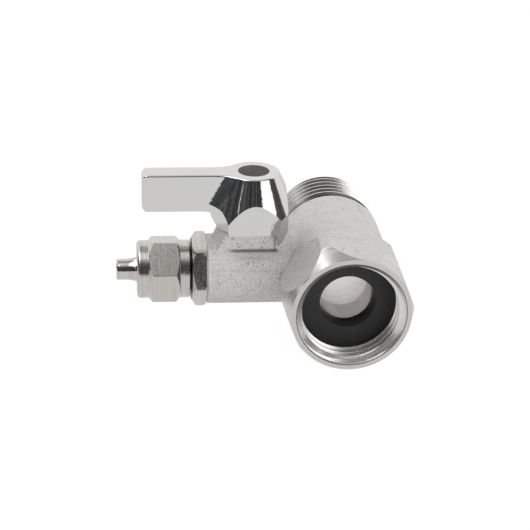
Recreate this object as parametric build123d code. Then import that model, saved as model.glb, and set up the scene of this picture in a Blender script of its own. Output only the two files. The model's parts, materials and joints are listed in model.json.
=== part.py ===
from build123d import *
from math import cos, hypot, radians, tan
import os

# A chrome plated tee adapter with a small ball valve on its branch. The straight run has a
# half inch pipe thread at both ends, a socket in front and a spigot behind. The branch
# holds a quarter turn ball valve and ends in a compression fitting for a soft tube.
# Millimetres. The run goes along +Y, the branch along -X, and the valve stem stands along
# +Z. Lengths along the run are measured from the socket's mouth. The finished pieces are
# shifted so that the origin is the centre of the gasket face that the pipe's end bears on.

# Half inch parallel pipe thread, cut as ring grooves at its pitch with its depth and flanks
thread_crest_radius = 10.4775
thread_root_radius = 9.3155
thread_pitch = 1.814
thread_flank_angle = 27.5
thread_root_flat = 0.3
spigot_groove_count = 6
socket_groove_count = 2

# Straight run
run_length = 46.0
barrel_radius = 10.65
barrel_behind_branch = 5.0
spigot_thread_length = 11.8
spigot_end_chamfer = 0.9
shoulder_bevel = 0.4
shoulder_groove_width = 0.7
shoulder_groove_depth = 0.9
thread_start_slope = 0.6
spigot_bore_chamfer = 0.5
socket_bore_radius = 5.0
socket_bore_depth = 6.0
spigot_bore_radius = 6.6

# Hexagonal collar round the socket
collar_across_flats = 23.3
collar_turn = 8.0
collar_rim_radius = 11.55
collar_largest_radius = 12.95
collar_front_angle = 16.0
collar_back_angle = 21.5
collar_back_flat_end = 14.1
mouth_chamfer_radius = 10.65
socket_thread_end = 5.92
socket_relief_radius = 10.4

# Flat gasket at the bottom of the socket
gasket_thickness = 3.05
gasket_hole_radius = 5.43
gasket_outer_radius = 10.1
gasket_relief = 0.08

# Branch
branch_radius = 7.0
branch_end = 26.55
branch_end_chamfer = 0.35
branch_port_radius = 2.1
branch_root_fillet = 1.2

# Ball, its seats and its chamber
stem_x = 17.3
ball_radius = 4.5
ball_bore_radius = 2.0
chamber_clearance = 0.25
seat_clearance = 0.05
seat_inner_radius = 2.35
seat_face_offset = 2.4
seat_back_offset = 4.72
seat_fit = 0.05
end_thread_radius = 5.0

# Stem
stem_radius = 2.6
stem_fit = 0.05
stem_flange_radius = 3.4
stem_flange_bottom = 4.8
stem_flange_height = 1.05
flange_clearance = 0.15
tang_thickness = 1.5
tang_seat_gap = 0.1
tang_bottom = 3.0
tang_clearance = 0.1
washer_height = 0.5
washer_gap = 0.05
ring_section_radius = 0.42
ring_gap = 0.01
ring_root_gap = 0.02
ring_heights = (7.9, 10.2)
ring_groove_width = 1.2
stem_square = 3.8
stem_square_top = 15.5

# Boss on the branch that carries the stem
boss_top = 9.7
boss_bottom = 4.4
boss_half_width = 4.2
boss_front_left = 5.35
boss_front_right = 3.9
boss_facet = 0.3
boss_left = 6.9
boss_right = 6.3
boss_draft = 0.44
neck_radius = 4.1
neck_top = 12.4
neck_chamfer = 0.4
stop_block_left = 4.3

# Lever
lever_top = 20.84
lever_length = 21.9
paddle_width = 4.8
paddle_height = 7.5
paddle_corner_radius = 1.1
paddle_root_fillet = 4.9
hub_top_radius = 5.05
lever_top_edge = 0.35
hub_flare = 25.6
skirt_bottom = 10.05
skirt_half_depth = 7.15
skirt_front_left = 5.2
skirt_facet_start = 2.9
skirt_facet_turn = 5.0
skirt_front_right = 4.5
skirt_right_slant = 1.75
skirt_left_angle = 63.0
skirt_right_angle = 51.0
skirt_reach_left = 8.3
skirt_reach_right = 6.3
skirt_draft = 0.3
skirt_left_fillet = 2.0
nose_radius = 3.8
nose_round = 1.2
skirt_hollow_radius = 5.5
web_bottom = 12.9
recess_floor = 15.6
recess_radius = 3.09
square_fit = 0.05

# Stop leg under one corner of the skirt. A quarter turn brings its side to the boss's front.
leg_stop_gap = 0.05
leg_inner_radius = 6.7
leg_bottom = 8.0
leg_tip_width = 0.5
leg_tip_length = 0.9
leg_back = 4.3
leg_heel_height = 0.9

# Screw and spring washer that hold the lever
screw_radius = 1.3
screw_fit = 0.02
screw_length = 7.0
screw_tip_gap = 0.3
screw_head_radius = 2.7
screw_head_height = 1.9
screw_head_round = 0.45
screw_recess_width = 0.7
screw_recess_length = 2.9
screw_recess_depth = 1.0
spring_washer_height = 0.6
spring_washer_radius = 2.75
spring_washer_split = 0.4
spring_washer_fit = 0.15

# Tube adapter screwed into the branch
adapter_across_flats = 13.0
adapter_hex_length = 2.95
adapter_hex_turn = -11.7
adapter_hex_chamfer = 1.0
adapter_front_slope = 1.5
adapter_back_chamfer = 0.35
adapter_bore_radius = 1.3
end_thread_fit = 0.03
clamp_thread_radius = 4.4
clamp_thread_length = 5.2
clamp_neck_radius = 2.3
clamp_end_chamfer = 0.6
barb_radius = 2.85
barb_start = 38.4
barb_end = 39.5
barb_tail = 0.22
nozzle_radius = 2.1
nozzle_start = 41.9
nozzle_tip = 44.26
nozzle_tip_chamfer = 0.25

# Seal between the adapter and the end of the branch
end_seal_section = 0.42
end_seal_recess = 0.95
end_seal_gap = 0.05

# Compression nut
nut_across_flats = 12.0
nut_hex_turn = 12.1
nut_collar_radius = 5.77
nut_back = 29.8
nut_front = 40.2
nut_hex_back = 31.7
nut_hex_front = 37.9
nut_chamfer = 0.85
nut_hole_radius = 3.15
nut_front_round = 0.7
nut_thread_gap = 0.08
nut_thread_depth = 6.6
nut_seat_depth = 1.35


# Helpers

def turned(points, axis):
    """A closed outline of (radius, distance along the axis) turned about X, Y or Z."""
    places = {"x": lambda r, d: (-d, r, 0), "y": lambda r, d: (r, d, 0), "z": lambda r, d: (r, 0, d)}
    axes = {"x": Axis.X, "y": Axis.Y, "z": Axis.Z}
    wire = Polyline([places[axis](r, d) for r, d in points], close=True)
    return revolve(make_face(wire), axes[axis])


def drum(radius, start, end, axis):
    """A plain cylinder on the X, Y or Z axis, from start to end."""
    return turned([(0, start), (radius, start), (radius, end), (0, end)], axis)


def at_branch(shape):
    """Carries a shape from the origin to the plane of the branch."""
    return Pos(0, branch_y, 0) * shape


def at_stem(shape):
    """Carries a shape from the origin to the axis of the stem."""
    return Pos(-stem_x, branch_y, 0) * shape


def hexagon_bar(across_flats, start, end, turn, axis):
    """A hexagonal bar along X or Y, with a flat on top turned by an angle in degrees."""
    face = RegularPolygon(radius=across_flats / 2, side_count=6, major_radius=False)
    if axis == "y":
        bar = extrude(Rot(0, 0, turn) * face, amount=end - start)
        return Pos(0, start, 0) * Rot(-90, 0, 0) * bar
    bar = extrude(Rot(0, 0, 30 + turn) * face, amount=end - start)
    return Pos(-start, 0, 0) * Rot(0, -90, 0) * bar


def ring(major, minor, height):
    """A round rubber ring about the Z axis."""
    return Pos(0, 0, height) * Torus(major, minor)


def block(x_span, y_span, z_span):
    """A box between two values on each axis."""
    spans = (x_span, y_span, z_span)
    size = [high - low for low, high in spans]
    middle = [(high + low) / 2 for low, high in spans]
    return Pos(*middle) * Box(*size)


# Sizes that follow from the ones above

thread_depth = thread_crest_radius - thread_root_radius
spigot_shoulder = run_length - spigot_thread_length
spigot_groove_end = spigot_shoulder + shoulder_groove_width
spigot_thread_start = spigot_groove_end + shoulder_groove_depth * thread_start_slope
socket_lead = mouth_chamfer_radius - thread_root_radius
branch_y = spigot_shoulder - barrel_behind_branch - branch_radius
gasket_back = socket_thread_end + gasket_thickness + gasket_relief
bore_step = gasket_back + socket_bore_depth
chamber_radius = ball_radius + chamber_clearance
shaft_bore_radius = stem_radius + stem_fit
flange_top = stem_flange_bottom + stem_flange_height
tang_radius = seat_face_offset - tang_seat_gap
washer_bottom = flange_top + washer_gap
flange_seat = washer_bottom + washer_height + washer_gap
ring_major = shaft_bore_radius - ring_section_radius - ring_gap
ring_groove_root = ring_major - ring_section_radius - ring_root_gap
adapter_front = branch_end + adapter_hex_length
end_seal_major = end_thread_radius + end_seal_section + end_seal_gap
end_recess_radius = end_seal_major + end_seal_section + end_seal_gap
washer_top = recess_floor + spring_washer_height


# Valve body

def thread_grooves(crest_radius, side, start, end, count):
    """Ring grooves spaced by the pitch about the middle of a stretch of thread.

    Side is -1 for grooves cut inwards from a spigot's crests, and 1 for grooves cut outwards
    from a socket's. A crest lies halfway along the stretch when the count is even."""
    half_root = thread_root_flat / 2
    half_open = half_root + thread_depth * tan(radians(thread_flank_angle))
    root_radius = crest_radius + side * thread_depth
    clear_radius = crest_radius - side * thread_depth
    grooves = None
    for number in range(count):
        y = (start + end) / 2 + (number - (count - 1) / 2) * thread_pitch
        outline = [(clear_radius, y - half_open), (crest_radius, y - half_open),
                   (root_radius, y - half_root), (root_radius, y + half_root),
                   (crest_radius, y + half_open), (clear_radius, y + half_open)]
        groove = turned(outline, "y")
        grooves = groove if grooves is None else grooves + groove
    return grooves


def collar():
    """The socket's collar: a turned double cone with six flats."""
    front_slope = tan(radians(collar_front_angle))
    back_slope = tan(radians(collar_back_angle))
    flat_radius = collar_across_flats / 2
    front_end = (collar_largest_radius - collar_rim_radius) / front_slope
    back_start = collar_back_flat_end - (collar_largest_radius - flat_radius) / back_slope
    back_end = collar_back_flat_end + (flat_radius - barrel_radius) / back_slope
    outline = [(0, 0), (collar_rim_radius, 0), (collar_largest_radius, front_end),
               (collar_largest_radius, back_start), (barrel_radius, back_end), (0, back_end)]
    bar = hexagon_bar(collar_across_flats, 0, back_end, collar_turn, "y")
    return turned(outline, "y") & bar


def run_outside():
    """The barrel with its rear spigot, without the collar."""
    groove_radius = thread_crest_radius - shoulder_groove_depth
    inside_collar = collar_back_flat_end - 2 * branch_root_fillet
    outline = [(0, 0), (thread_root_radius, 0), (barrel_radius, inside_collar),
               (barrel_radius, spigot_shoulder - shoulder_bevel),
               (barrel_radius - shoulder_bevel, spigot_shoulder), (groove_radius, spigot_shoulder),
               (groove_radius, spigot_groove_end), (thread_crest_radius, spigot_thread_start),
               (thread_crest_radius, run_length - spigot_end_chamfer),
               (thread_crest_radius - spigot_end_chamfer, run_length), (0, run_length)]
    return turned(outline, "y")


def run_inside():
    """Socket, gasket seat and waterway, cut out of the run."""
    bevel = spigot_bore_chamfer
    outline = [(0, -1), (mouth_chamfer_radius + 1, -1), (mouth_chamfer_radius, 0),
               (thread_root_radius, socket_lead), (thread_root_radius, socket_thread_end),
               (socket_relief_radius, socket_thread_end), (socket_relief_radius, gasket_back),
               (socket_bore_radius, gasket_back), (socket_bore_radius, bore_step),
               (spigot_bore_radius, bore_step), (spigot_bore_radius, run_length - bevel),
               (spigot_bore_radius + bevel * 2, run_length + bevel), (0, run_length + bevel)]
    return turned(outline, "y")


def boss_outline(grow, height):
    """Plan of the stem boss: flat in front and behind, pointed at both ends."""
    half = boss_half_width
    front = [(-boss_left - grow, 0), (-boss_front_left - grow, -half), (boss_front_right, -half),
             (boss_front_right + boss_facet, -half + boss_facet), (boss_right + grow, 0)]
    back = [(x, -y) for x, y in reversed(front[1:-1])]
    return Pos(0, 0, height) * make_face(Polyline(front + back, close=True))


def stop_outline(grow, height):
    """Plan of the block on the boss that stops the leg in the open position."""
    corners = [(stop_block_left, 0), (stop_block_left, -boss_half_width),
               (boss_right + grow, -boss_half_width), (boss_right + grow, 0)]
    return Pos(0, 0, height) * make_face(Polyline(corners, close=True))


def stem_boss():
    """The cast block under the lever, with the leg's stop and a round neck on top."""
    spread = boss_draft * (boss_top - boss_bottom)
    body = loft([boss_outline(spread, boss_bottom), boss_outline(0, boss_top)], ruled=True)
    body += loft([stop_outline(spread, boss_bottom), stop_outline(0, boss_top)], ruled=True)
    neck = drum(neck_radius, boss_bottom, neck_top, "z")
    neck = chamfer(neck.edges().group_by(Axis.Z)[-1], neck_chamfer)
    return body + neck


def branch_outside():
    """The branch tube, from the middle of the run to its end face."""
    edge = branch_end - branch_end_chamfer
    outline = [(0, 0), (branch_radius, 0), (branch_radius, edge),
               (branch_radius - branch_end_chamfer, branch_end), (0, branch_end)]
    return turned(outline, "x")


def branch_inside():
    """Port, ball chamber and end thread, cut out of the branch."""
    floor = stem_x - seat_back_offset
    thread_start = stem_x + seat_back_offset
    recess = branch_end - end_seal_recess
    outline = [(0, 0), (branch_port_radius, 0), (branch_port_radius, floor), (chamber_radius, floor),
               (chamber_radius, thread_start), (end_thread_radius, thread_start),
               (end_thread_radius, recess), (end_recess_radius, recess),
               (end_recess_radius, branch_end + 1), (0, branch_end + 1)]
    return turned(outline, "x")


def stem_bore():
    """Bore of the stem with the wider seat of its flange, cut from inside."""
    seat = drum(stem_flange_radius + flange_clearance, 0, flange_seat, "z")
    return seat + drum(shaft_bore_radius, 0, neck_top + 1, "z")


def valve_body():
    body = run_outside() + at_branch(branch_outside())
    root = [edge for edge in body.edges() if edge.geom_type == GeomType.BSPLINE]
    body = fillet(root, branch_root_fillet)
    body += collar() + at_stem(stem_boss())
    thread_end = run_length - spigot_end_chamfer
    body -= thread_grooves(thread_crest_radius, -1, spigot_thread_start, thread_end, spigot_groove_count)
    body -= run_inside()
    body -= thread_grooves(thread_root_radius, 1, socket_lead, socket_thread_end, socket_groove_count)
    body -= at_branch(branch_inside())
    body -= at_stem(stem_bore())
    return body


def inlet_gasket():
    back = socket_thread_end + gasket_thickness
    outline = [(gasket_hole_radius, socket_thread_end), (gasket_outer_radius, socket_thread_end),
               (gasket_outer_radius, back), (gasket_hole_radius, back)]
    return turned(outline, "y")


# Ball valve

def ball():
    """Drilled ball, with a slot on top for the tang of the stem."""
    slot_width = tang_thickness + 2 * tang_clearance
    slot_floor = tang_bottom - tang_clearance
    body = Sphere(ball_radius) - drum(ball_bore_radius, -ball_radius - 1, ball_radius + 1, "x")
    slot = Pos(0, 0, slot_floor + ball_radius / 2) * Box(slot_width, 3 * ball_radius, ball_radius)
    return at_stem(body - slot)


def ball_seat(turn):
    """A seat ring with a hollow face that cups the ball, turned to the tube side or the run side."""
    outer = chamber_radius - seat_fit
    outline = [(seat_inner_radius, seat_face_offset), (outer, seat_face_offset),
               (outer, seat_back_offset), (seat_inner_radius, seat_back_offset)]
    seat = turned(outline, "x") - Sphere(ball_radius + seat_clearance)
    return at_stem(Rot(0, 0, turn) * seat)


def stem():
    """Stem with tang, flange, two ring grooves, and a square end with a tapped hole."""
    flat = tang_thickness / 2
    tang = block((-flat, flat), (-tang_radius, tang_radius), (tang_bottom, stem_flange_bottom))
    tang = tang & drum(tang_radius, tang_bottom, stem_flange_bottom, "z")
    shaft = drum(stem_flange_radius, stem_flange_bottom, flange_top, "z")
    shaft += drum(stem_radius, flange_top, neck_top, "z")
    square_height = stem_square_top - neck_top
    square = Pos(0, 0, neck_top + square_height / 2) * Box(stem_square, stem_square, square_height)
    shaft += tang + (square & drum(stem_radius, neck_top, stem_square_top, "z"))
    for height in ring_heights:
        low = height - ring_groove_width / 2
        high = height + ring_groove_width / 2
        shaft -= drum(stem_radius + 1, low, high, "z") - drum(ring_groove_root, low, high, "z")
    hole_bottom = washer_top - screw_length - screw_tip_gap
    return at_stem(shaft - drum(screw_radius + screw_fit, hole_bottom, stem_square_top + 1, "z"))


def stem_ring(height):
    return at_stem(ring(ring_major, ring_section_radius, height))


def thrust_washer():
    inner = stem_radius + stem_fit
    outline = [(inner, washer_bottom), (stem_flange_radius, washer_bottom),
               (stem_flange_radius, washer_bottom + washer_height), (inner, washer_bottom + washer_height)]
    return at_stem(turned(outline, "z"))


# Lever

def skirt_outline(height):
    """Plan of the skirt at one height, with long flats in front and behind and a facet beside each."""
    share = (lever_top - height) / (lever_top - skirt_bottom)
    grow = skirt_draft * share
    depth = skirt_half_depth + grow
    front_left = skirt_front_left + grow / 2
    front_right = skirt_front_right + skirt_right_slant * (1 - share)
    left = skirt_reach_left + grow
    right = skirt_reach_right + grow
    left_depth = depth - (left - front_left) * tan(radians(skirt_left_angle))
    facet_depth = depth - (front_right - skirt_facet_start) * tan(radians(skirt_facet_turn))
    right_depth = facet_depth - (right - front_right) * tan(radians(skirt_right_angle))
    corner = [(-left, left_depth), (-front_left, depth), (skirt_facet_start, depth),
              (front_right, facet_depth), (right, right_depth)]
    mirrored = [(x, -y) for x, y in reversed(corner)]
    return Pos(0, 0, height) * make_face(Polyline(corner + mirrored, close=True))


def nose_trim(centre, under):
    """What the round below the paddle takes away from the skirt's left end."""
    reach = skirt_reach_left * 2
    corner = block((-reach, centre), (-reach, reach), (skirt_bottom - 1, under))
    return corner - Pos(centre, 0, under) * Rot(90, 0, 0) * Cylinder(nose_radius, 2 * reach + 1)


def hub():
    """Cone that flares down from the top, cut to the skirt, with a rounded nose under the paddle."""
    bottom_radius = hub_top_radius + (lever_top - skirt_bottom) * tan(radians(hub_flare))
    outline = [(0, skirt_bottom), (bottom_radius, skirt_bottom),
               (hub_top_radius, lever_top), (0, lever_top)]
    prism = loft([skirt_outline(skirt_bottom), skirt_outline(lever_top)], ruled=True)
    left_end = [edge for edge in prism.edges() if edge.center().X < -skirt_reach_left + 0.1
                and edge.length > lever_top - skirt_bottom - 1]
    body = turned(outline, "z") & fillet(left_end, skirt_left_fillet)
    under = lever_top - paddle_height
    centre = nose_radius - skirt_reach_left - skirt_draft
    body -= nose_trim(centre, under)
    nose_edges = [edge for edge in body.edges() if edge.center().Z > skirt_bottom + 0.1
                  and abs(hypot((edge @ 0.5).X - centre, (edge @ 0.5).Z - under) - nose_radius) < 0.01]
    return fillet(nose_edges, nose_round)


def paddle():
    """Flat finger plate that points along the branch, with rounded corners at its end."""
    half = paddle_width / 2
    plate = block((-lever_length, 0), (-half, half), (lever_top - paddle_height, lever_top))
    end = [edge for edge in plate.edges() if edge.center().X < -lever_length + 0.1]
    return fillet(end, paddle_corner_radius)


def stop_leg():
    """Tooth under one corner of the skirt, upright in front, slanted behind and at its outer side."""
    front = skirt_half_depth + skirt_draft
    side = boss_half_width + leg_stop_gap
    profile = [(side, -front, leg_bottom), (side, leg_tip_width - front, leg_bottom),
               (side, -leg_back, skirt_bottom - leg_heel_height), (side, -leg_back, skirt_bottom),
               (side, -front, skirt_bottom)]
    tooth = extrude(make_face(Polyline(profile, close=True)), amount=skirt_reach_right, dir=(1, 0, 0))
    prism = extrude(skirt_outline(skirt_bottom), amount=leg_bottom - skirt_bottom)
    outer = skirt_reach_right + skirt_draft
    taper = [(side, -front, leg_bottom), (side + leg_tip_length, -front, leg_bottom),
             (outer, -front, skirt_bottom), (side, -front, skirt_bottom)]
    wedge = extrude(make_face(Polyline(taper, close=True)), amount=front, dir=(0, 1, 0))
    return (tooth & prism & wedge) - drum(leg_inner_radius, leg_bottom, skirt_bottom, "z")


def lever_outside():
    """Hub and paddle blended into one another, with a softened edge round the top."""
    body = hub() + paddle()
    flank = paddle_width / 2
    root = [edge for edge in body.edges() if edge.geom_type != GeomType.LINE
            and abs(abs(edge.center().Y) - flank) < 0.01 and edge.bounding_box().size.Y < 0.01
            and edge.center().X > -lever_length / 2]
    body = fillet(root, paddle_root_fillet)
    top = [edge for edge in body.edges().group_by(Axis.Z)[-1]]
    return fillet(top, lever_top_edge)


def lever_handle():
    outside = lever_outside() + stop_leg()
    hollow = drum(skirt_hollow_radius, leg_bottom - 1, web_bottom, "z")
    square = stem_square / 2 + square_fit
    hole = block((-square, square), (-square, square), (web_bottom - 1, recess_floor + 1))
    hole = hole & drum(stem_radius + square_fit, web_bottom - 1, recess_floor + 1, "z")
    recess = drum(recess_radius, recess_floor, lever_top + 1, "z")
    return at_stem(outside - hollow - hole - recess)


def lever_screw():
    """Pan head screw with a cross recess."""
    head_top = washer_top + screw_head_height
    head = drum(screw_head_radius, washer_top, head_top, "z")
    head = fillet(head.edges().group_by(Axis.Z)[-1], screw_head_round)
    arm = Box(screw_recess_length, screw_recess_width, screw_recess_depth)
    cross = Pos(0, 0, head_top - screw_recess_depth / 2) * (arm + Rot(0, 0, 90) * arm)
    return at_stem(head - cross + drum(screw_radius, washer_top - screw_length, washer_top, "z"))


def lever_washer():
    """Spring washer with its split."""
    inner = screw_radius + spring_washer_fit
    outline = [(inner, recess_floor), (spring_washer_radius, recess_floor),
               (spring_washer_radius, washer_top), (inner, washer_top)]
    half = spring_washer_split / 2
    split = block((0, spring_washer_radius + 1), (-half, half), (recess_floor - 1, washer_top + 1))
    return at_stem(turned(outline, "z") - split)


# Tube fitting

def tube_adapter():
    """Hexagon with a thread on both sides, and the nozzle that the tube is pushed on."""
    corner_radius = adapter_across_flats / 2 / cos(radians(30))
    outline = [(0, branch_end), (corner_radius - adapter_back_chamfer, branch_end),
               (corner_radius, branch_end + adapter_back_chamfer),
               (corner_radius, adapter_front - adapter_hex_chamfer),
               (corner_radius - adapter_front_slope * adapter_hex_chamfer, adapter_front),
               (0, adapter_front)]
    bar = hexagon_bar(adapter_across_flats, branch_end, adapter_front, adapter_hex_turn, "x")
    body = turned(outline, "x") & bar
    spigot_end = stem_x + seat_back_offset
    body += drum(end_thread_radius - end_thread_fit, spigot_end, branch_end, "x")
    clamp_end = adapter_front + clamp_thread_length
    neck = [(0, adapter_front), (clamp_thread_radius, adapter_front), (clamp_thread_radius, clamp_end),
            (clamp_neck_radius, clamp_end + clamp_end_chamfer), (clamp_neck_radius, barb_start),
            (barb_radius, barb_start), (barb_radius, barb_end),
            (nozzle_radius + barb_tail, (barb_end + nozzle_start) / 2), (nozzle_radius, nozzle_start),
            (nozzle_radius, nozzle_tip - nozzle_tip_chamfer),
            (nozzle_radius - nozzle_tip_chamfer, nozzle_tip), (0, nozzle_tip)]
    body += turned(neck, "x")
    body -= drum(adapter_bore_radius, spigot_end - 1, nozzle_tip + 1, "x")
    return at_branch(body)


def end_seal():
    """Rubber ring between the adapter and the end of the branch."""
    place = branch_end - end_seal_recess / 2
    return at_branch(Pos(-place, 0, 0) * Rot(0, 90, 0) * Torus(end_seal_major, end_seal_section))


def compression_nut():
    """Nut with a hexagon between two round collars."""
    corner_radius = nut_across_flats / 2 / cos(radians(30))
    outline = [(0, nut_back), (nut_collar_radius, nut_back), (nut_collar_radius, nut_hex_back),
               (corner_radius, nut_hex_back + nut_chamfer), (corner_radius, nut_hex_front - nut_chamfer),
               (nut_collar_radius, nut_hex_front), (nut_collar_radius, nut_front), (0, nut_front)]
    bar = hexagon_bar(nut_across_flats, nut_back, nut_front, nut_hex_turn, "x")
    body = turned(outline, "x")
    body = (body & bar) + drum(nut_collar_radius, nut_back, nut_front, "x")
    front_edge = body.faces().sort_by(Axis.X)[0].edges()
    body = fillet(front_edge, nut_front_round)
    thread_radius = clamp_thread_radius + nut_thread_gap
    thread_end = nut_back + nut_thread_depth
    inside = [(0, nut_back - 1), (thread_radius, nut_back - 1), (thread_radius, thread_end),
              (nut_hole_radius, thread_end + nut_seat_depth), (nut_hole_radius, nut_front + 1),
              (0, nut_front + 1)]
    return at_branch(body - turned(inside, "x"))


pieces = {
    "valve_body": valve_body,
    "inlet_gasket": inlet_gasket,
    "ball": ball,
    "ball_seat_run_side": lambda: ball_seat(180),
    "ball_seat_tube_side": lambda: ball_seat(0),
    "stem": stem,
    "stem_ring_lower": lambda: stem_ring(ring_heights[0]),
    "stem_ring_upper": lambda: stem_ring(ring_heights[1]),
    "stem_thrust_washer": thrust_washer,
    "lever_handle": lever_handle,
    "lever_screw": lever_screw,
    "lever_spring_washer": lever_washer,
    "tube_adapter": tube_adapter,
    "adapter_seal_ring": end_seal,
    "compression_nut": compression_nut,
}

placement = Pos(0, -socket_thread_end, 0)
os.makedirs("parts", exist_ok=True)
for name, make in pieces.items():
    export_step(placement * make(), f"parts/{name}.step")
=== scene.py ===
import json
import math

import bmesh
import bpy
import numpy as np
from mathutils import Matrix, Vector


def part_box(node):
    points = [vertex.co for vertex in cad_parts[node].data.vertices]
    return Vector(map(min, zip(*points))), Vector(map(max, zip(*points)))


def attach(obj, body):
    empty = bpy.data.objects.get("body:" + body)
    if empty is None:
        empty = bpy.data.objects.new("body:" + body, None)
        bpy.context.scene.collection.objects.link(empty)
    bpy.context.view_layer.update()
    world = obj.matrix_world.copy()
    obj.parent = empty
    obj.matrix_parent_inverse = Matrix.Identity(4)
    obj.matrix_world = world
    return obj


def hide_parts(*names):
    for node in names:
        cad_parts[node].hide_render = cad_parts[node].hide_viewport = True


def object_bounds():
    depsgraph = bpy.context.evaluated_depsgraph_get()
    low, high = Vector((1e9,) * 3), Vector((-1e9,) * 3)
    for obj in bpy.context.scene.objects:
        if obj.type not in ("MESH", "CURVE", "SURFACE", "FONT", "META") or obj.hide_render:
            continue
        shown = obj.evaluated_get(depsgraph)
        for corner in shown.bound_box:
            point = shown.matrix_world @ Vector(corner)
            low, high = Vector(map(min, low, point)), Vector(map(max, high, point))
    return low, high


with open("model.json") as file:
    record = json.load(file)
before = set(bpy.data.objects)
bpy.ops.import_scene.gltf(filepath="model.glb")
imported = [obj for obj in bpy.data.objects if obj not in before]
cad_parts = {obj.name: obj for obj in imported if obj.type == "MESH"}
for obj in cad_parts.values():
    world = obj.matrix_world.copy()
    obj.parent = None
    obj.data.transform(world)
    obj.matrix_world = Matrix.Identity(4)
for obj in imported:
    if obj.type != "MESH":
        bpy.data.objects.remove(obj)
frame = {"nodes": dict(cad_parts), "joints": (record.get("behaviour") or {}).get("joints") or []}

# The dress of a chrome plated tee adapter with a ball valve on its branch. The solids come
# packed. This script cuts the threads, gives every piece its finish and sets up the studio.

mm = 0.001
cad_low, cad_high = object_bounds()
body_low, body_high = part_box("valve_body")
mouth, spigot_end = body_low.y, body_high.y
lever_joint = next(joint for joint in frame["joints"] if joint["name"] == "lever")
stem_axis = Vector(lever_joint["pos_m"])

# Half inch parallel pipe thread
thread_pitch = 1.814 * mm
thread_depth = 1.162 * mm
thread_half_angle = math.radians(27.5)
thread_root_flat = 0.30 * mm
thread_root_slope = 0.12 * mm
thread_overcut = 0.22 * mm
thread_run_out = 0.5 * mm
segments_per_turn = 96
segments_of_sleeve = 192

spigot_crest_radius = 10.4775 * mm
spigot_thread_length = 10.56 * mm
spigot_groove_start = 10.9 * mm
spigot_groove_overrun = 1.2 * mm
spigot_end_chamfer = 0.9 * mm
shoulder_groove_depth = 0.9 * mm
shoulder_groove_slope = 0.54 * mm

socket_crest_radius = 9.3155 * mm
socket_groove_overrun = 1.0 * mm
socket_groove_end = 6.2 * mm
socket_sleeve_start = 1.7 * mm
socket_sleeve_end = 5.5 * mm

sleeve_lift = 0.004 * mm
sleeve_depth = 1.7 * mm
sleeve_overrun = 0.6 * mm

edge_break = 0.09 * mm
edge_angle = 24
body_smooth_angle = 13

# Places of the finishes and of the painted shade and reflection
turned_radius = 10.56 * mm
collar_rim_radius = 11.55 * mm
front_cone = math.radians(16.0)
front_cone_end = 4.9 * mm
front_cone_tolerance = 0.09 * mm
end_face_depth = 0.12 * mm
# The fine line of painted shade at the mouth's edge
mouth_chamfer_radius = 10.6 * mm
mouth_line_half_width = 0.13 * mm
in_mouth_radius = 10.75 * mm
in_mouth_depth = 6.0 * mm
far_bore_radius = 7.0 * mm
near_bore_radius = 5.0 * mm
branch_radius = 7.0 * mm
# Where the shade in the corner under the boss's front is painted
boss_half_width = 4.2 * mm
boss_corner_width = 0.5 * mm
boss_corner_left = -5.6 * mm
boss_corner_right = 5.2 * mm
# The two faint smears on the branch: partly the mould's parting line, partly painted reflection
lower_mark = 2.3 * mm
upper_mark = 4.5 * mm
mark_half_width = 0.5 * mm
marks_back = -3.5 * mm
marks_right = 5.5 * mm
recess_radius = 3.09 * mm
nozzle_radius = 3.3 * mm
# The painted shadow in the gap between the adapter and the nut
gap_middle = 29.6 * mm
gap_half_width = 0.3 * mm


# Mesh helpers

def new_piece(name, vertices, faces):
    """A mesh object at the origin, from an array of points and a list of faces."""
    mesh = bpy.data.meshes.new(name)
    mesh.from_pydata(vertices.reshape(-1, 3).tolist(), [], faces)
    mesh.update()
    piece = bpy.data.objects.new(name, mesh)
    bpy.context.scene.collection.objects.link(piece)
    return piece


def merged_copy(node, name):
    """A copy of a CAD node whose loose triangles are joined at their shared points."""
    mesh = frame["nodes"][node].data.copy()
    mesh.name = name
    piece = bpy.data.objects.new(name, mesh)
    bpy.context.scene.collection.objects.link(piece)
    work = bmesh.new()
    work.from_mesh(mesh)
    bmesh.ops.remove_doubles(work, verts=work.verts, dist=1e-7)
    work.to_mesh(mesh)
    work.free()
    if mesh.has_custom_normals:
        with bpy.context.temp_override(object=piece, active_object=piece, selected_objects=[piece]):
            bpy.ops.mesh.customdata_custom_splitnormals_clear()
    return piece


def combine(piece, tool, operation):
    """Takes the tool's volume out of the piece or joins it on, and deletes the tool."""
    step = piece.modifiers.new(operation, "BOOLEAN")
    step.operation = operation
    step.solver = "MANIFOLD"
    step.object = tool
    scene_state = bpy.context.evaluated_depsgraph_get()
    result = bpy.data.meshes.new_from_object(piece.evaluated_get(scene_state))
    piece.modifiers.remove(step)
    piece.data = result
    bpy.data.objects.remove(tool)


def face_outwards(piece):
    """Turns every face of a closed piece outwards."""
    work = bmesh.new()
    work.from_mesh(piece.data)
    bmesh.ops.recalc_face_normals(work, faces=work.faces)
    work.to_mesh(piece.data)
    work.free()


def turned_ring(name, profile, segments):
    """A closed outline of (radius, place along Y) carried round the Y axis: x is the radius times
    the cosine of the turn, and z the radius times its sine."""
    profile = np.array(profile)
    turn = np.linspace(0, 2 * math.pi, segments, endpoint=False)[:, None]
    radius, along = profile[None, :, 0], profile[None, :, 1] + 0 * turn
    points = np.stack([radius * np.cos(turn), along, radius * np.sin(turn)], axis=-1)
    count = len(profile)
    step = np.arange(segments)[:, None] * count
    after_step = (step + count) % (segments * count)
    corner = np.arange(count)[None]
    after = (corner + 1) % count
    quads = np.stack([step + corner, step + after, after_step + after, after_step + corner], axis=-1)
    ring = new_piece(name, points, quads.reshape(-1, 4).tolist())
    face_outwards(ring)
    return ring


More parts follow.
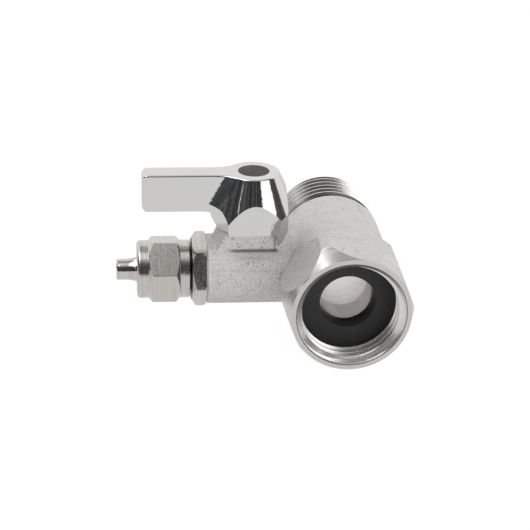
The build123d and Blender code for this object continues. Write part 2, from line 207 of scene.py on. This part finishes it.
def soften(piece, angle_degrees):
    """Shades a piece smooth, with sharp edges where its faces meet at more than the angle."""
    mesh = piece.data
    mesh.polygons.foreach_set("use_smooth", np.ones(len(mesh.polygons), bool))
    mesh.set_sharp_from_angle(angle=math.radians(angle_degrees))
    weights = piece.modifiers.new("weights", "WEIGHTED_NORMAL")
    weights.keep_sharp = True
    weights.weight = 100


def broken_edges(node, body):
    """A copy of a turned node with its sharp edges broken, to catch the light as real ones do."""
    piece = merged_copy(node, node + "_finished")
    bevel = piece.modifiers.new("edges", "BEVEL")
    bevel.width = edge_break
    bevel.segments = 2
    bevel.limit_method = "ANGLE"
    bevel.angle_limit = math.radians(edge_angle)
    soften(piece, 180)
    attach(piece, body)
    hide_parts(node)
    return piece


# Threads

def thread_cutter(name, base_radius, side, first, last, run_out):
    """A closed helical bar with the thread's groove as its section.

    The section runs from the open side of the groove down one flank, over a narrow root and up
    the other flank. It is carried round the Y axis, one pitch a turn: x is the radius times the
    cosine of the turn, y the place along plus the section's offset, and z the radius times the
    sine. Over the run out at its start the groove grows from nothing to full: its depth is the
    full one times the share, and the share is the smaller of 1 and the distance from the start
    divided by the run out."""
    half_root = thread_root_flat / 2
    flank = math.tan(thread_half_angle)
    shoulder = thread_depth - thread_root_slope
    depths = np.array([-thread_overcut, shoulder, thread_depth, thread_depth, shoulder, -thread_overcut])
    half_open = half_root + flank * (thread_depth + thread_overcut)
    half_low = half_root + flank * thread_root_slope
    offsets = np.array([-half_open, -half_low, -half_root, half_root, half_low, half_open])
    turns = (last - first) / thread_pitch
    steps = int(turns * segments_per_turn) + 1
    angle = np.linspace(0, turns * 2 * math.pi, steps)
    along = first + angle / (2 * math.pi) * thread_pitch
    share = np.clip((along - first) / run_out, 0, 1)[:, None] if run_out else np.ones((steps, 1))
    nothing = -0.9 * thread_overcut
    depth = np.where(depths > 0, depths * share + nothing * (1 - share), depths)
    radius = base_radius + side * depth
    points = np.stack([radius * np.cos(angle)[:, None], along[:, None] + offsets,
                       radius * np.sin(angle)[:, None]], axis=-1)
    count = len(depths)
    step = np.arange(steps - 1)[:, None] * count
    corner = np.arange(count)[None]
    after = (corner + 1) % count
    quads = np.stack([step + corner, step + after, step + count + after, step + count + corner], axis=-1)
    faces = quads.reshape(-1, 4).tolist()
    faces.append(list(range(count)))
    faces.append(list(range((steps - 1) * count, steps * count)))
    cutter = new_piece(name, points, faces)
    face_outwards(cutter)
    return cutter


def spigot_sleeve():
    """A ring that fills the spigot's ring grooves up to the crests, from the shoulder's groove to
    the end chamfer."""
    crest = spigot_crest_radius + sleeve_lift
    start = spigot_end - spigot_thread_length
    chamfer = spigot_end - spigot_end_chamfer
    low = crest - sleeve_depth
    foot = start - shoulder_groove_slope
    profile = [(low, foot), (crest - shoulder_groove_depth, foot), (crest, start), (crest, chamfer),
               (crest - sleeve_overrun, chamfer + sleeve_overrun), (low, chamfer + sleeve_overrun)]
    return turned_ring("spigot_sleeve", profile, segments_of_sleeve)


def socket_sleeve():
    """A ring that fills the socket's ring grooves up to the crests."""
    crest = socket_crest_radius - sleeve_lift
    low = crest + sleeve_depth
    start, end = mouth + socket_sleeve_start, mouth + socket_sleeve_end
    profile = [(crest, start), (low, start), (low, end), (crest, end)]
    return turned_ring("socket_sleeve", profile, segments_of_sleeve)


def threaded_body():
    """The valve body with true threads in place of the ring grooves of its solid."""
    piece = merged_copy("valve_body", "valve_body_threaded")
    combine(piece, spigot_sleeve(), "UNION")
    combine(piece, socket_sleeve(), "UNION")
    spigot_groove = thread_cutter("spigot_groove", spigot_crest_radius, -1,
                                  spigot_end - spigot_groove_start,
                                  spigot_end + spigot_groove_overrun, thread_run_out)
    socket_groove = thread_cutter("socket_groove", socket_crest_radius, 1,
                                  mouth - socket_groove_overrun, mouth + socket_groove_end, 0)
    combine(piece, spigot_groove, "DIFFERENCE")
    combine(piece, socket_groove, "DIFFERENCE")
    soften(piece, body_smooth_angle)
    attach(piece, "fitting")
    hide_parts("valve_body")
    return piece


# Shader nodes

class Nodes:
    """A node tree, with short calls for the nodes in it. A source is a socket or a number."""

    def __init__(self, tree):
        self.tree = tree

    def node(self, kind, **values):
        """A new node with the given values."""
        made = self.tree.nodes.new(kind)
        for key, value in values.items():
            setattr(made, key, value)
        return made

    def link(self, start, end):
        self.tree.links.new(start, end)

    def fill(self, sockets, sources):
        """Links each source to its socket, or writes it there when it is a number."""
        for socket, source in zip(sockets, sources):
            if isinstance(source, (int, float)):
                socket.default_value = source
            else:
                self.link(source, socket)

    def axes(self, vector):
        """The three coordinates of a vector."""
        split = self.node("ShaderNodeSeparateXYZ")
        self.link(vector, split.inputs[0])
        return split.outputs

    def vector(self, *sources):
        """A vector from its three coordinates."""
        made = self.node("ShaderNodeCombineXYZ")
        self.fill(made.inputs, sources)
        return made.outputs[0]

    def calc(self, operation, *sources):
        """A math node on its sources."""
        made = self.node("ShaderNodeMath", operation=operation)
        self.fill(made.inputs, sources)
        return made.outputs[0]

    def product(self, first, *others):
        """All the sources multiplied."""
        for other in others:
            first = self.calc("MULTIPLY", first, other)
        return first

    def apart(self, first, second):
        """The difference of two sources without its sign."""
        return self.calc("ABSOLUTE", self.calc("SUBTRACT", first, second))

    def distance(self, first, second):
        """The root of the sum of two squares."""
        squares = self.calc("ADD", self.product(first, first), self.product(second, second))
        return self.calc("SQRT", squares)

    def rise(self, source, low, high, bottom=0.0, top=1.0):
        """Bottom at low, top at high and smooth between. Low may be above high."""
        step = self.node("ShaderNodeMapRange", interpolation_type="SMOOTHSTEP")
        ends = (low, high, bottom, top) if low < high else (high, low, top, bottom)
        for socket, value in zip(("From Min", "From Max", "To Min", "To Max"), ends):
            step.inputs[socket].default_value = value
        self.link(source, step.inputs["Value"])
        return step.outputs["Result"]

    def below(self, source, limit, soft):
        """0 above the limit and 1 below it, over a soft edge of the given width."""
        return self.rise(source, limit, limit - soft)

    def above(self, source, limit, soft):
        """0 below the limit and 1 above it, over a soft edge of the given width."""
        return self.rise(source, limit, limit + soft)

    def ramp(self, source, stops):
        """A colour ramp, given as (position, grey or colour) pairs."""
        ramp = self.node("ShaderNodeValToRGB")
        while len(ramp.color_ramp.elements) < len(stops):
            ramp.color_ramp.elements.new(0.5)
        for element, (position, value) in zip(ramp.color_ramp.elements, stops):
            element.position = position
            element.color = (value, value, value, 1) if isinstance(value, float) else (*value, 1)
        self.link(source, ramp.inputs["Fac"])
        return ramp.outputs["Color"]


class Finish(Nodes):
    """A material with a Principled shader."""

    def __init__(self, name, color, metallic, roughness):
        self.material = bpy.data.materials.new(name)
        self.material.use_nodes = True
        super().__init__(self.material.node_tree)
        self.shader = self.tree.nodes["Principled BSDF"]
        self.shader.inputs["Base Color"].default_value = (*color, 1)
        self.shader.inputs["Metallic"].default_value = metallic
        self.shader.inputs["Roughness"].default_value = roughness
        coordinates = self.node("ShaderNodeTexCoord").outputs
        self.place, self.facing = coordinates["Object"], coordinates["Normal"]

    def feed(self, socket, source):
        self.link(source, self.shader.inputs[socket])

    def shades(self, source, dark, light):
        """A ramp over the usual spread of a noise."""
        return self.ramp(source, [(0.3, dark), (0.7, light)])

    def blend(self, share, first, second):
        """A mix of two colours or greys, given as sockets or values, by a share from 0 to 1."""
        mix = self.node("ShaderNodeMix", data_type="RGBA")
        self.link(share, mix.inputs[0])
        for socket, value in zip((mix.inputs[6], mix.inputs[7]), (first, second)):
            if isinstance(value, float):
                socket.default_value = (value, value, value, 1)
            elif isinstance(value, tuple):
                socket.default_value = (*value, 1)
            else:
                self.link(value, socket)
        return mix.outputs[2]

    def noise(self, size, detail=2.0, stretch=(1, 1, 1), place=None):
        """Noise whose grain is about size metres, stretched along the axes."""
        mapping = self.node("ShaderNodeMapping")
        mapping.inputs["Scale"].default_value = stretch
        self.link(place or self.place, mapping.inputs["Vector"])
        texture = self.node("ShaderNodeTexNoise")
        texture.inputs["Scale"].default_value = 1 / size
        texture.inputs["Detail"].default_value = detail
        self.link(mapping.outputs["Vector"], texture.inputs["Vector"])
        return texture.outputs["Fac"]

    def bump(self, source, depth, strength, below=None):
        """A bump of the given depth in metres, laid over another one."""
        bump = self.node("ShaderNodeBump")
        bump.inputs["Distance"].default_value = depth
        bump.inputs["Strength"].default_value = strength
        self.link(source, bump.inputs["Height"])
        if below is not None:
            self.link(below, bump.inputs["Normal"])
        return bump.outputs["Normal"]


# Places on the body

def turned_share(finish, along, radius):
    """1 where the body was turned on a lathe, 0 where its casting shows.

    Along is the distance from the mouth's end face, and radius the distance from the run's axis.
    The bores and threads lie inside the barrel's radius. On the collar's front cone the radius is
    that of the cone at this place along Y, and the hexagon's flats lie deeper. The end face is
    turned too."""
    cone = finish.calc("ADD", finish.product(along, math.tan(front_cone)), collar_rim_radius)
    on_cone = finish.product(finish.below(finish.apart(cone, radius), front_cone_tolerance, 0.04 * mm),
                             finish.below(along, front_cone_end + 0.1 * mm, 0.2 * mm))
    within = finish.below(radius, turned_radius, 0.03 * mm)
    on_end = finish.below(along, end_face_depth, 0.06 * mm)
    return finish.calc("MAXIMUM", within, finish.calc("MAXIMUM", on_cone, on_end))


def mouth_share(finish, along, radius):
    """1 inside the mouth, on its chamfer and thread."""
    return finish.product(finish.below(radius, in_mouth_radius, 0.1 * mm),
                          finish.below(along, in_mouth_depth, 0.2 * mm))


def mouth_edge_shade(finish, along, radius):
    """1 in a fine line of painted shade where the socket's chamfer meets the end face."""
    away = finish.apart(radius, mouth_chamfer_radius)
    return finish.product(finish.below(away, mouth_line_half_width, 0.08 * mm),
                          finish.below(along, 0.3 * mm, 0.1 * mm))


def spigot_root_shade(finish, along, radius):
    """1 in the painted shade in the roots of the spigot's thread."""
    end = spigot_end - mouth
    start = end - spigot_thread_length
    root = spigot_crest_radius - thread_depth
    return finish.product(finish.below(radius, root + 1.0 * mm, 0.8 * mm),
                          finish.above(radius, root - 0.2 * mm, 0.1 * mm),
                          finish.below(along, end - 0.05 * mm, 0.1 * mm),
                          finish.above(along, start - 1.0 * mm, 1.0 * mm))


def boss_corner_shade(finish, axes):
    """1 in the painted shade of the corner where the front of the stem's boss stands on the branch."""
    ahead = finish.calc("SUBTRACT", axes[1], stem_axis.y - boss_half_width)
    over = finish.calc("SUBTRACT", axes[2], math.sqrt(branch_radius ** 2 - boss_half_width ** 2))
    sideways = finish.calc("SUBTRACT", axes[0], stem_axis.x)
    return finish.product(finish.below(finish.distance(ahead, over), boss_corner_width, 0.3 * mm),
                          finish.above(sideways, boss_corner_left, 2.1 * mm),
                          finish.below(sideways, boss_corner_right, 0.8 * mm))


def mould_line_and_reflection_shade(finish, axes):
    """Up to 1 in two faint darker smears along the front of the branch, partly the casting mould's
    parting line and partly painted shade for the change in the branch's reflection there.
    """
    away = finish.calc("MINIMUM", finish.apart(axes[2], lower_mark), finish.apart(axes[2], upper_mark))
    patches = finish.noise(1.2 * mm, 3.0, (0.3, 1, 1))
    ahead = finish.calc("SUBTRACT", axes[1], stem_axis.y)
    sideways = finish.calc("SUBTRACT", axes[0], stem_axis.x)
    return finish.product(finish.below(away, mark_half_width, 0.45 * mm),
                          finish.rise(patches, 0.38, 0.56),
                          finish.below(ahead, marks_back, 1.0 * mm),
                          finish.below(sideways, marks_right, 3.0 * mm))


# Finishes

def cast_color(finish, axes, grain, cloud):
    """The blasted casting: a fine grain that is harsher on the sides than on top, with dark flecks,
    painted shade in the corner under the boss's front and faint smears that are partly painted
    reflection.
    """
    soft = finish.shades(grain, (0.68, 0.67, 0.665), (0.86, 0.85, 0.84))
    harsh = finish.ramp(grain, [(0.3, (0.54, 0.535, 0.53)), (0.5, (0.82, 0.81, 0.805)),
                                (0.7, (0.99, 0.98, 0.97))])
    on_side = finish.rise(finish.axes(finish.facing)[2], 0.95, 0.6)
    dark = finish.ramp(finish.noise(0.36 * mm, 1.0), [(0.6, 0.0), (0.7, 1.0)])
    specks_and_corner_shade = finish.product(dark, finish.rise(cloud, 0.46, 0.62))
    # Painted shade: the corner under the boss's front takes the same dark colour as the flecks
    specks_and_corner_shade = finish.calc("MAXIMUM", specks_and_corner_shade, boss_corner_shade(finish, axes))
    color = finish.blend(specks_and_corner_shade, finish.blend(on_side, soft, harsh), (0.3, 0.29, 0.28))
    # Faint darker smears on the branch's front: partly the mould's parting line, partly painted
    # reflection
    return finish.blend(finish.product(mould_line_and_reflection_shade(finish, axes), 0.32), color, (0.42, 0.41, 0.4))


def turned_color(finish, along, radius, rings):
    """The turned faces: pale in the threads, and darker on the collar's cone and end face and in the
    bores. Painted shade darkens a fine line at the mouth's edge, the roots of the spigot's thread
    and, most of all, the narrowest bore."""
    collar = finish.shades(rings, (0.52, 0.51, 0.5), (0.76, 0.75, 0.74))
    thread = finish.shades(rings, (0.72, 0.7, 0.69), (0.9, 0.88, 0.87))
    bore = finish.shades(rings, (0.5, 0.485, 0.475), (0.82, 0.8, 0.785))
    # Painted shade: the narrowest bore is painted darker than the others
    near_bore = finish.shades(rings, (0.34, 0.325, 0.315), (0.58, 0.56, 0.545))
    in_thread = finish.below(radius, turned_radius - 0.05 * mm, 0.05 * mm)
    color = finish.blend(in_thread, collar, thread)
    # Painted shade: a fine dark line where the mouth's chamfer meets the end face
    color = finish.blend(mouth_edge_shade(finish, along, radius), color, (0.26, 0.25, 0.245))
    # Painted shade: the roots of the spigot's thread are painted dark
    color = finish.blend(spigot_root_shade(finish, along, radius), color, (0.19, 0.185, 0.18))
    in_bore = finish.below(radius, far_bore_radius, 0.1 * mm)
    in_near_bore = finish.below(radius, near_bore_radius + 0.3 * mm, 0.1 * mm)
    return finish.blend(in_near_bore, finish.blend(in_bore, color, bore), near_bore)


def body_plating():
    """Satin plating over a blasted casting, brighter and with fine rings where it was turned."""
    finish = Finish("body_plating", (0.8, 0.79, 0.78), 0.6, 0.45)
    axes = finish.axes(finish.place)
    along = finish.calc("SUBTRACT", axes[1], mouth)
    radius = finish.distance(axes[0], axes[2])
    turned = turned_share(finish, along, radius)
    grain = finish.noise(0.2 * mm)
    cloud = finish.noise(2.4 * mm, 3.0)
    rings = finish.noise(0.18 * mm, place=finish.vector(radius, axes[1], 0.0))
    finish.feed("Base Color", finish.blend(turned, cast_color(finish, axes, grain, cloud),
                                           turned_color(finish, along, radius, rings)))
    metallic = finish.blend(turned, 0.5, 1.0)
    finish.feed("Metallic", finish.blend(mouth_share(finish, along, radius), metallic, 0.78))
    finish.feed("Roughness", finish.blend(turned, finish.shades(cloud, 0.5, 0.6),
                                          finish.shades(rings, 0.2, 0.3)))
    blasted = finish.product(grain, finish.calc("SUBTRACT", 1.0, turned))
    coarse = finish.bump(blasted, 0.16 * mm, 1.0)
    finish.feed("Normal", finish.bump(finish.product(rings, turned), 0.012 * mm, 0.7, coarse))
    return finish.material


def polished_chrome():
    """Mirror chrome with the small dents of a die casting, rough inside the screw's recess, where a
    painted shade makes it a little darker.
    """
    color = (0.68, 0.675, 0.67)
    finish = Finish("lever_chrome", color, 1.0, 0.06)
    axes = finish.axes(finish.place)
    reach = finish.distance(finish.calc("SUBTRACT", axes[0], stem_axis.x),
                            finish.calc("SUBTRACT", axes[1], stem_axis.y))
    recess = finish.below(reach, recess_radius + 0.08 * mm, 0.05 * mm)
    waves = finish.noise(2.6 * mm)
    # Painted shade: the recess round the screw is a little darker
    finish.feed("Base Color", finish.blend(recess, color, (0.62, 0.605, 0.6)))
    finish.feed("Roughness", finish.blend(recess, finish.shades(waves, 0.045, 0.08), 0.6))
    smooth = finish.bump(waves, 0.03 * mm, 0.6)
    finish.feed("Normal", finish.bump(finish.noise(0.4 * mm), 0.011 * mm, 0.9, smooth))
    return finish.material


def turned_nickel(name, color, roughness, stain):
    """Nickel plated brass from a lathe. Its fine marks run round the branch, so they stand in rows
    along X and widen every highlight that way. The nozzle is smoother, and the gap between the
    adapter and the nut carries a painted shadow, near black."""
    finish = Finish(name, color, 1.0, roughness)
    axes = finish.axes(finish.place)
    off_axis = finish.distance(finish.calc("SUBTRACT", axes[1], stem_axis.y), axes[2])
    nozzle = finish.below(off_axis, nozzle_radius, 0.2 * mm)
    gap_shadow = finish.below(finish.apart(axes[0], -gap_middle), gap_half_width, 0.02 * mm)
    marks = finish.noise(0.07 * mm, stretch=(1, 0.012, 0.012))
    bands = finish.noise(0.3 * mm, stretch=(1, 0.03, 0.03))
    smear = finish.noise(0.5 * mm, 3.0)
    shade = finish.shades(bands, tuple(0.82 * value for value in color), color)
    # Painted shadow: the gap between the adapter and the nut is painted near black
    finish.feed("Base Color", finish.blend(gap_shadow, shade, 0.04))
    rough = finish.shades(smear, roughness * 0.8, roughness * 1.3)
    finish.feed("Roughness", finish.blend(nozzle, rough, 0.09))
    marks = finish.product(marks, finish.calc("SUBTRACT", 1.0, nozzle))
    finish.feed("Normal", finish.bump(marks, 0.018 * mm, 0.8, finish.bump(smear, 0.03 * mm, stain)))
    return finish.material


def gasket_rubber():
    """Matt black rubber with a fine grain and a little dust."""
    black = (0.018, 0.017, 0.017)
    finish = Finish("gasket_rubber", black, 0.0, 0.6)
    dust = finish.noise(0.45 * mm, 1.0)
    finish.feed("Base Color", finish.ramp(dust, [(0.7, black), (0.78, 0.2)]))
    finish.feed("Normal", finish.bump(finish.noise(0.15 * mm, 3.0), 0.02 * mm, 0.5))
    return finish.material


def plain_finish(name, color, metallic, roughness):
    """A finish for the hidden pieces, with a light grain in its roughness."""
    finish = Finish(name, color, metallic, roughness)
    grain = finish.noise(0.4 * mm, 3.0)
    finish.feed("Roughness", finish.shades(grain, roughness * 0.8, roughness * 1.2))
    return finish.material


def give(piece, material):
    """Makes the material the only one of the piece."""
    piece.data.materials.clear()
    piece.data.materials.append(material)


def dress():
    """Threads the body and gives every piece its finish."""
    give(threaded_body(), body_plating())
    give(broken_edges("compression_nut", "nut"),
         turned_nickel("nut_nickel", (0.65, 0.625, 0.6), 0.22, 0.12))
    give(broken_edges("tube_adapter", "fitting"),
         turned_nickel("adapter_nickel", (0.66, 0.635, 0.615), 0.22, 0.5))
    rubber = gasket_rubber()
    seat = plain_finish("seat_plastic", (0.86, 0.86, 0.84), 0.0, 0.5)
    steel = plain_finish("screw_steel", (0.42, 0.42, 0.43), 1.0, 0.35)
    finishes = {
        "lever_handle": polished_chrome(),
        "inlet_gasket": rubber,
        "stem_ring_lower": rubber,
        "stem_ring_upper": rubber,
        "adapter_seal_ring": rubber,
        "ball_seat_run_side": seat,
        "ball_seat_tube_side": seat,
        "stem_thrust_washer": seat,
        "lever_screw": steel,
        "lever_spring_washer": steel,
        "ball": plain_finish("ball_chrome", (0.62, 0.62, 0.62), 1.0, 0.1),
        "stem": plain_finish("stem_brass", (0.7, 0.5, 0.24), 1.0, 0.3),
    }
    for node, material in finishes.items():
        for place in frame["nodes"][node].material_slots:
            place.material = material


# Studio

object_centre = Vector((-0.015, 0.01, 0))
floor_size = 1.5
floor_grey = 0.16
floor_in_metal = 0.74
floor_to_camera = 0.93
backdrop_glow = 0.92


def studio_floor():
    """A wide pale floor under the fitting, white to the camera and in the plating: a square of
    four corners, each at plus or minus the size along X and Y."""
    level = cad_low.z - 0.02 * mm
    corners = np.array([[-floor_size, -floor_size, level], [floor_size, -floor_size, level],
                        [floor_size, floor_size, level], [-floor_size, floor_size, level]])
    floor = new_piece("studio_floor", corners, [[0, 1, 2, 3]])
    material = bpy.data.materials.new("studio_floor")
    material.use_nodes = True
    paint = Nodes(material.node_tree)
    paint.tree.nodes.clear()
    matt = paint.node("ShaderNodeBsdfDiffuse")
    matt.inputs["Color"].default_value = (floor_grey, floor_grey, floor_grey, 1)
    ray = paint.node("ShaderNodeLightPath").outputs
    in_metal = paint.product(ray["Is Glossy Ray"], floor_in_metal)
    strength = paint.calc("MULTIPLY_ADD", ray["Is Camera Ray"], floor_to_camera, in_metal)
    glow = paint.node("ShaderNodeEmission")
    paint.link(strength, glow.inputs["Strength"])
    both = paint.node("ShaderNodeAddShader")
    paint.link(matt.outputs[0], both.inputs[0])
    paint.link(glow.outputs[0], both.inputs[1])
    paint.link(both.outputs[0], paint.node("ShaderNodeOutputMaterial").inputs["Surface"])
    give(floor, material)


def studio_world():
    """A dim room with a bright backdrop behind the object, and white to the camera."""
    world = bpy.data.worlds.new("studio")
    bpy.context.scene.world = world
    world.use_nodes = True
    sky = Nodes(world.node_tree)
    sky.tree.nodes.clear()
    towards = sky.node("ShaderNodeTexCoord").outputs["Generated"]
    x, y, z = sky.axes(towards)
    behind = sky.rise(sky.calc("MULTIPLY_ADD", x, 0.2, y), 0.2, 0.29)
    backdrop = sky.product(behind, sky.rise(z, 0.84, 0.74))
    clutter = sky.node("ShaderNodeTexNoise")
    clutter.inputs["Scale"].default_value = 9.0
    clutter.inputs["Detail"].default_value = 4.0
    sky.link(towards, clutter.inputs["Vector"])
    dark_room = sky.rise(clutter.outputs["Fac"], 0.35, 0.65, 0.03, 0.12)
    ceiling = sky.calc("ADD", dark_room, sky.rise(z, 0.66, 0.9, 0.0, 0.37))
    cool_front = sky.calc("MAXIMUM", sky.rise(x, -0.9, 0.4), sky.rise(y, -0.5, 0.1))
    room = sky.node("ShaderNodeBackground")
    tint = sky.ramp(cool_front, [(0.0, (0.86, 0.95, 1.08)), (0.4, (1, 0.985, 0.975))])
    sky.link(tint, room.inputs["Color"])
    sky.link(sky.calc("MULTIPLY_ADD", backdrop, backdrop_glow, ceiling), room.inputs["Strength"])
    white = sky.node("ShaderNodeBackground")
    white.inputs["Color"].default_value = (1, 1, 1, 1)
    mix = sky.node("ShaderNodeMixShader")
    sky.link(sky.node("ShaderNodeLightPath").outputs["Is Camera Ray"], mix.inputs["Fac"])
    sky.link(room.outputs[0], mix.inputs[1])
    sky.link(white.outputs[0], mix.inputs[2])
    sky.link(mix.outputs[0], sky.node("ShaderNodeOutputWorld").inputs["Surface"])


def soft_box(name, azimuth, elevation, distance, width, height, radiance, serves):
    """An area light on a sphere round the object, turned to face it.

    Azimuth 0 is in front of the object and grows to the right, elevation is above the floor, and
    the power is radiance times pi times the light's area. The light serves matt faces, glossy
    ones or both."""
    a, e = math.radians(azimuth), math.radians(elevation)
    towards = Vector((math.sin(a) * math.cos(e), -math.cos(a) * math.cos(e), math.sin(e)))
    light = bpy.data.lights.new(name, "AREA")
    light.shape = "RECTANGLE"
    light.size = width
    light.size_y = height
    light.energy = radiance * math.pi * width * height
    lamp = bpy.data.objects.new(name, light)
    lamp.location = object_centre + towards * distance
    lamp.rotation_mode = "QUATERNION"
    lamp.rotation_quaternion = (-towards).to_track_quat("-Z", "Y")
    lamp.visible_camera = False
    lamp.visible_diffuse = serves in ("matt", "both")
    lamp.visible_glossy = serves in ("glossy", "both")
    bpy.context.scene.collection.objects.link(lamp)


def studio_camera():
    """The photograph's camera: from the front, a little to the left, looking down 25 degrees."""
    place = Vector((-44.92, -269.06, 132.99)) * mm
    right = Vector((0.99527, -0.09290, 0.02836))
    up = Vector((0.01334, 0.41992, 0.90747))
    back = right.cross(up)
    lens = bpy.data.cameras.new("camera")
    lens.sensor_width = 36.0
    lens.lens = 106.82
    lens.clip_start = 0.01
    camera = bpy.data.objects.new("camera", lens)
    turn = Matrix((right, up, back)).transposed()
    camera.matrix_world = Matrix.Translation(place) @ turn.to_4x4()
    bpy.context.scene.collection.objects.link(camera)
    bpy.context.scene.camera = camera


dress()
studio_floor()
studio_world()
# Lamps: azimuth, elevation, distance, width, height, radiance and the faces that they serve
soft_box("overhead_box", 0, 80, 0.5, 0.5, 0.24, 0.45, "both")
soft_box("right_box", 46, 14, 0.55, 0.37, 0.34, 1.5, "both")
soft_box("left_strip", -49, 23, 0.6, 0.012, 0.11, 1.6, "both")
soft_box("left_box", -78, 56, 0.55, 0.5, 0.36, 2.0, "glossy")
soft_box("back_left_strip", -138, 45, 0.6, 0.08, 0.13, 1.5, "glossy")
soft_box("front_fill", 8, 18, 0.7, 0.6, 0.4, 3.6, "matt")
studio_camera()
bpy.context.scene.view_settings.view_transform = "Standard"
